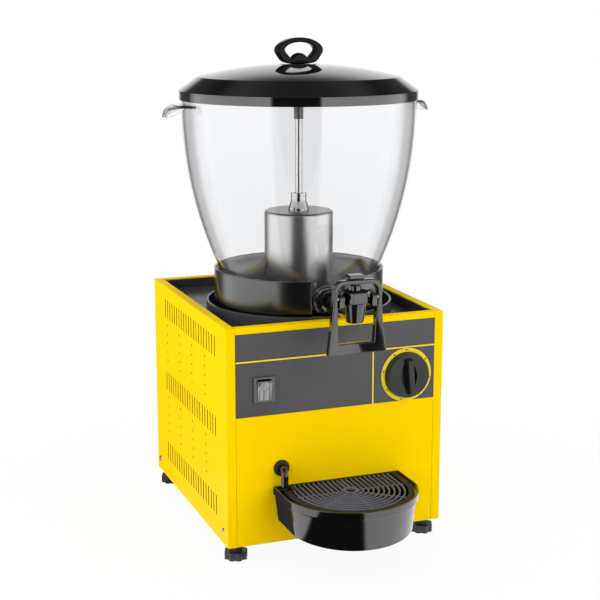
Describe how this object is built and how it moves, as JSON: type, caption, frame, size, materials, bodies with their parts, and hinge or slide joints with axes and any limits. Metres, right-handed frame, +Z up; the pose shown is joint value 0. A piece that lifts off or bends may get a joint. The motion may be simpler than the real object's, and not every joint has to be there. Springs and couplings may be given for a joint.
{
  "type": "refrigerated drink dispenser",
  "caption": "Counter-top drink cooler: yellow steel cabinet, clear lidded bowl over an upright cooling cylinder, push-back tap, drip tray, rocker switch and thermostat dial.",
  "frame": {"origin": "on the floor, under the middle of the outline", "axes": "+Z up, -Y towards the tap and the control plate, +X to the right as seen from the front"},
  "size_m": [0.348, 0.444, 0.618],
  "materials": {
    "yellow_paint": "powder coat, bright yellow",
    "deck_black": "satin black",
    "plate_grey": "dark grey printed plate",
    "gloss_black": "gloss black moulding",
    "rocker_grey": "smoked translucent grey",
    "stainless": "brushed along the height",
    "clear": "clear",
    "liner_grey": "pale grey",
    "rubber_black": "matt",
    "seal_red": "matt",
    "zinc": "zinc plated",
    "copper": "bare copper",
    "can_black": "black paint",
    "fin_alloy": "bare fins",
    "motor_grey": "dull grey",
    "white_plastic": "natural white",
    "nozzle_grey": "satin grey"
  },
  "bodies": {
    "cabinet": {"base_pan": "zinc", "left_side_panel": "yellow_paint", "right_side_panel": "yellow_paint", "front_panel": "yellow_paint", "rear_panel": "yellow_paint", "top_deck": "deck_black", "bowl_collar": "gloss_black", "seat_liner": "liner_grey", "control_plate": "plate_grey", "switch_frame": "gloss_black", "thermostat_body": "zinc", "thermostat_nut": "zinc", "drain_grommet": "rubber_black", "drain_elbow": "gloss_black", "tray_bracket": "zinc", "cord_gland": "rubber_black", "panel_screws": "zinc", "compressor": "can_black", "compressor_mounts": "rubber_black", "condenser": "fin_alloy", "fan_motor": "motor_grey", "refrigerant_pipes": "copper", "cooling_cylinder": "stainless", "cooling_coil": "copper", "bowl_gasket": "rubber_black", "pump_motor": "motor_grey", "pump_bell": "stainless", "spray_tube": "stainless", "spray_head": "nozzle_grey"},
    "switch": {"switch_rocker": "rocker_grey"},
    "dial": {"thermostat_shaft": "zinc", "thermostat_knob": "gloss_black"},
    "tray": {"drip_tray": "gloss_black"},
    "grille": {"drip_grille": "gloss_black"},
    "foot_fl": {"foot_front_left": "rubber_black"},
    "foot_fr": {"foot_front_right": "rubber_black"},
    "foot_rl": {"foot_rear_left": "rubber_black"},
    "foot_rr": {"foot_rear_right": "rubber_black"},
    "container": {"bowl": "clear", "bowl_lower": "clear", "bowl_base": "clear", "bowl_ears": "clear", "tap_washer": "rubber_black", "tap_nut": "gloss_black", "tap_body": "gloss_black", "tap_bonnet": "gloss_black", "lever_pins": "zinc"},
    "lever": {"tap_lever": "gloss_black"},
    "plunger": {"tap_plunger": "gloss_black", "tap_seal": "seal_red", "tap_spring": "zinc"},
    "cover": {"lid": "gloss_black", "lid_skirt": "gloss_black", "lid_handle": "gloss_black", "handle_button": "gloss_black", "handle_screw": "zinc"},
    "rotor": {"drive_rotor": "zinc"},
    "pump_wheel": {"impeller": "white_plastic"},
    "fan": {"fan_blade": "fin_alloy"}
  },
  "joints": [
    {"name": "bowl_lift", "type": "slide", "parent": "cabinet", "child": "container", "axis": [0, 0, 1], "range_m": [0, 0.3]},
    {"name": "lid_lift", "type": "slide", "parent": "container", "child": "cover", "axis": [0, 0, 1], "range_m": [0, 0.2]},
    {"name": "lever_pivot", "type": "hinge", "parent": "container", "child": "lever", "pos_m": [0, -0.1605, 0.329], "axis": [1, 0, 0], "range_deg": [0, 20]},
    {"name": "plunger_slide", "type": "slide", "parent": "container", "child": "plunger", "axis": [0, 0, 1], "range_m": [0, 0.0045], "stiffness_N_per_m": 60, "springref_m": -0.005, "deforming": ["tap_spring"]},
    {"name": "dial_turn", "type": "hinge", "parent": "cabinet", "child": "dial", "pos_m": [0.091, -0.102, 0.214], "axis": [0, 1, 0], "range_deg": [0, 270]},
    {"name": "switch_tip", "type": "hinge", "parent": "cabinet", "child": "switch", "pos_m": [-0.094, -0.0986, 0.214], "axis": [-1, 0, 0], "range_deg": [0, 16]},
    {"name": "tray_slide", "type": "slide", "parent": "cabinet", "child": "tray", "axis": [0, -1, 0], "range_m": [0, 0.1]},
    {"name": "grille_lift", "type": "slide", "parent": "tray", "child": "grille", "axis": [0, 0, 1], "range_m": [0, 0.06]},
    {"name": "rotor_spin", "type": "hinge", "parent": "cabinet", "child": "rotor", "pos_m": [0, 0.029, 0.39], "axis": [0, 0, 1], "continuous": true},
    {"name": "pump_wheel_spin", "type": "hinge", "parent": "cabinet", "child": "pump_wheel", "pos_m": [0, 0.029, 0.407], "axis": [0, 0, 1], "continuous": true},
    {"name": "fan_spin", "type": "hinge", "parent": "cabinet", "child": "fan", "pos_m": [0, 0.1668, 0.1012], "axis": [0, 1, 0], "continuous": true},
    {"name": "foot_fl_screw", "type": "slide", "parent": "cabinet", "child": "foot_fl", "axis": [0, 0, -1], "range_m": [0, 0.008]},
    {"name": "foot_fr_screw", "type": "slide", "parent": "cabinet", "child": "foot_fr", "axis": [0, 0, -1], "range_m": [0, 0.008]},
    {"name": "foot_rl_screw", "type": "slide", "parent": "cabinet", "child": "foot_rl", "axis": [0, 0, -1], "range_m": [0, 0.008]},
    {"name": "foot_rr_screw", "type": "slide", "parent": "cabinet", "child": "foot_rr", "axis": [0, 0, -1], "range_m": [0, 0.008]}
  ],
  "couplings": [
    {"joint": "plunger_slide", "follows": "lever_pivot", "m_per_rad": 0.0115},
    {"joint": "pump_wheel_spin", "follows": "rotor_spin", "ratio": 1}
  ]
}
